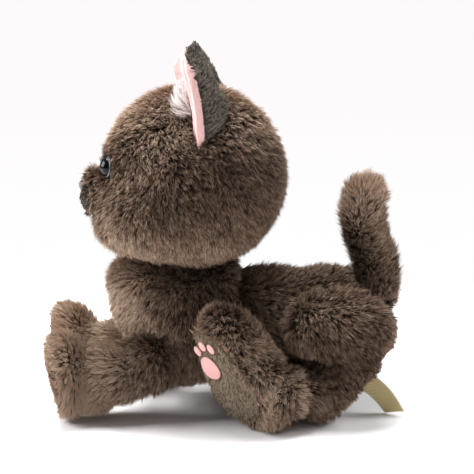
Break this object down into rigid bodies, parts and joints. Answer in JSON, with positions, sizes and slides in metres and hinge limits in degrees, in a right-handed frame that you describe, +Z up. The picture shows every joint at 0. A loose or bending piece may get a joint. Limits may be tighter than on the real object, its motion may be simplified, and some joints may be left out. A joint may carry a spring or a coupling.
{
  "type": "plush cat",
  "caption": "Soft toy cat sitting with its front legs stretched forward; head, legs and tail turn at the body.",
  "frame": {"origin": "on the floor, under the middle of the bounding box; X = 0 is the plane of symmetry", "axes": "+Z up, the cat faces -Y, and its left side is +X"},
  "size_m": [0.153, 0.2357, 0.2352],
  "materials": {
    "brown_plush": "long pile plush, matt",
    "short_plush": "short pile plush, matt",
    "muzzle_plush": "short pile plush, matt",
    "pink_satin": "soft satin embroidery and lining",
    "white_plush": "long loose pile",
    "stuffing": "loose polyester fibre",
    "pellets": "fine pellets in a cloth bag",
    "joint_plastic": "moulded, semi-matt",
    "eye_plastic": "polished dome",
    "nose_thread": "embroidered thread",
    "label_ribbon": "woven ribbon"
  },
  "bodies": {
    "torso": {"torso_skin": "brown_plush", "torso_stuffing": "stuffing", "pellet_bag": "pellets", "neck_washer": "joint_plastic", "shoulder_washer_left": "joint_plastic", "shoulder_washer_right": "joint_plastic", "hip_washer_left": "joint_plastic", "hip_washer_right": "joint_plastic", "sewn_label": "label_ribbon"},
    "head": {"head_skin": "brown_plush", "muzzle_panel": "muzzle_plush", "head_stuffing": "stuffing", "eye_left": "eye_plastic", "eye_right": "eye_plastic", "eye_washer_left": "joint_plastic", "eye_washer_right": "joint_plastic", "nose": "nose_thread", "mouth_stitch": "nose_thread", "ear_back_left": "short_plush", "ear_back_right": "short_plush", "ear_lining_left": "pink_satin", "ear_lining_right": "pink_satin", "ear_tuft_left": "white_plush", "ear_tuft_right": "white_plush", "neck_disc": "joint_plastic"},
    "front_leg_left": {"front_leg_skin_left": "brown_plush", "front_leg_stuffing_left": "stuffing", "front_sole_left": "short_plush", "front_palm_pad_left": "pink_satin", "front_toe_pad_inner_left": "pink_satin", "front_toe_pad_middle_left": "pink_satin", "front_toe_pad_outer_left": "pink_satin", "shoulder_disc_left": "joint_plastic"},
    "front_leg_right": {"front_leg_skin_right": "brown_plush", "front_leg_stuffing_right": "stuffing", "front_sole_right": "short_plush", "front_palm_pad_right": "pink_satin", "front_toe_pad_inner_right": "pink_satin", "front_toe_pad_middle_right": "pink_satin", "front_toe_pad_outer_right": "pink_satin", "shoulder_disc_right": "joint_plastic"},
    "hind_leg_left": {"hind_leg_skin_left": "brown_plush", "hind_leg_stuffing_left": "stuffing", "hind_sole_left": "short_plush", "hind_palm_pad_left": "pink_satin", "hind_toe_pad_inner_left": "pink_satin", "hind_toe_pad_middle_left": "pink_satin", "hind_toe_pad_outer_left": "pink_satin", "hip_disc_left": "joint_plastic"},
    "hind_leg_right": {"hind_leg_skin_right": "brown_plush", "hind_leg_stuffing_right": "stuffing", "hind_sole_right": "short_plush", "hind_palm_pad_right": "pink_satin", "hind_toe_pad_inner_right": "pink_satin", "hind_toe_pad_middle_right": "pink_satin", "hind_toe_pad_outer_right": "pink_satin", "hip_disc_right": "joint_plastic"},
    "tail": {"tail_skin": "brown_plush", "tail_stuffing": "stuffing"}
  },
  "joints": [
    {"name": "head_turn", "type": "hinge", "parent": "torso", "child": "head", "pos_m": [0, -0.01755, 0.094], "axis": [0, 0, 1], "range_deg": [-60, 60]},
    {"name": "front_leg_left_swing", "type": "hinge", "parent": "torso", "child": "front_leg_left", "pos_m": [0.031, -0.04705, 0.034], "axis": [1, 0, 0], "range_deg": [-25, 35]},
    {"name": "front_leg_right_swing", "type": "hinge", "parent": "torso", "child": "front_leg_right", "pos_m": [-0.031, -0.04705, 0.034], "axis": [1, 0, 0], "range_deg": [-25, 35]},
    {"name": "hind_leg_left_swing", "type": "hinge", "parent": "torso", "child": "hind_leg_left", "pos_m": [0.0305, 0.07545, 0.06], "axis": [1, 0, 0], "range_deg": [-18, 50]},
    {"name": "hind_leg_right_swing", "type": "hinge", "parent": "torso", "child": "hind_leg_right", "pos_m": [-0.0305, 0.07545, 0.06], "axis": [1, 0, 0], "range_deg": [-18, 50]},
    {"name": "tail_swing", "type": "hinge", "parent": "torso", "child": "tail", "pos_m": [0, 0.10145, 0.072], "axis": [1, 0, 0], "range_deg": [-25, 15]}
  ]
}
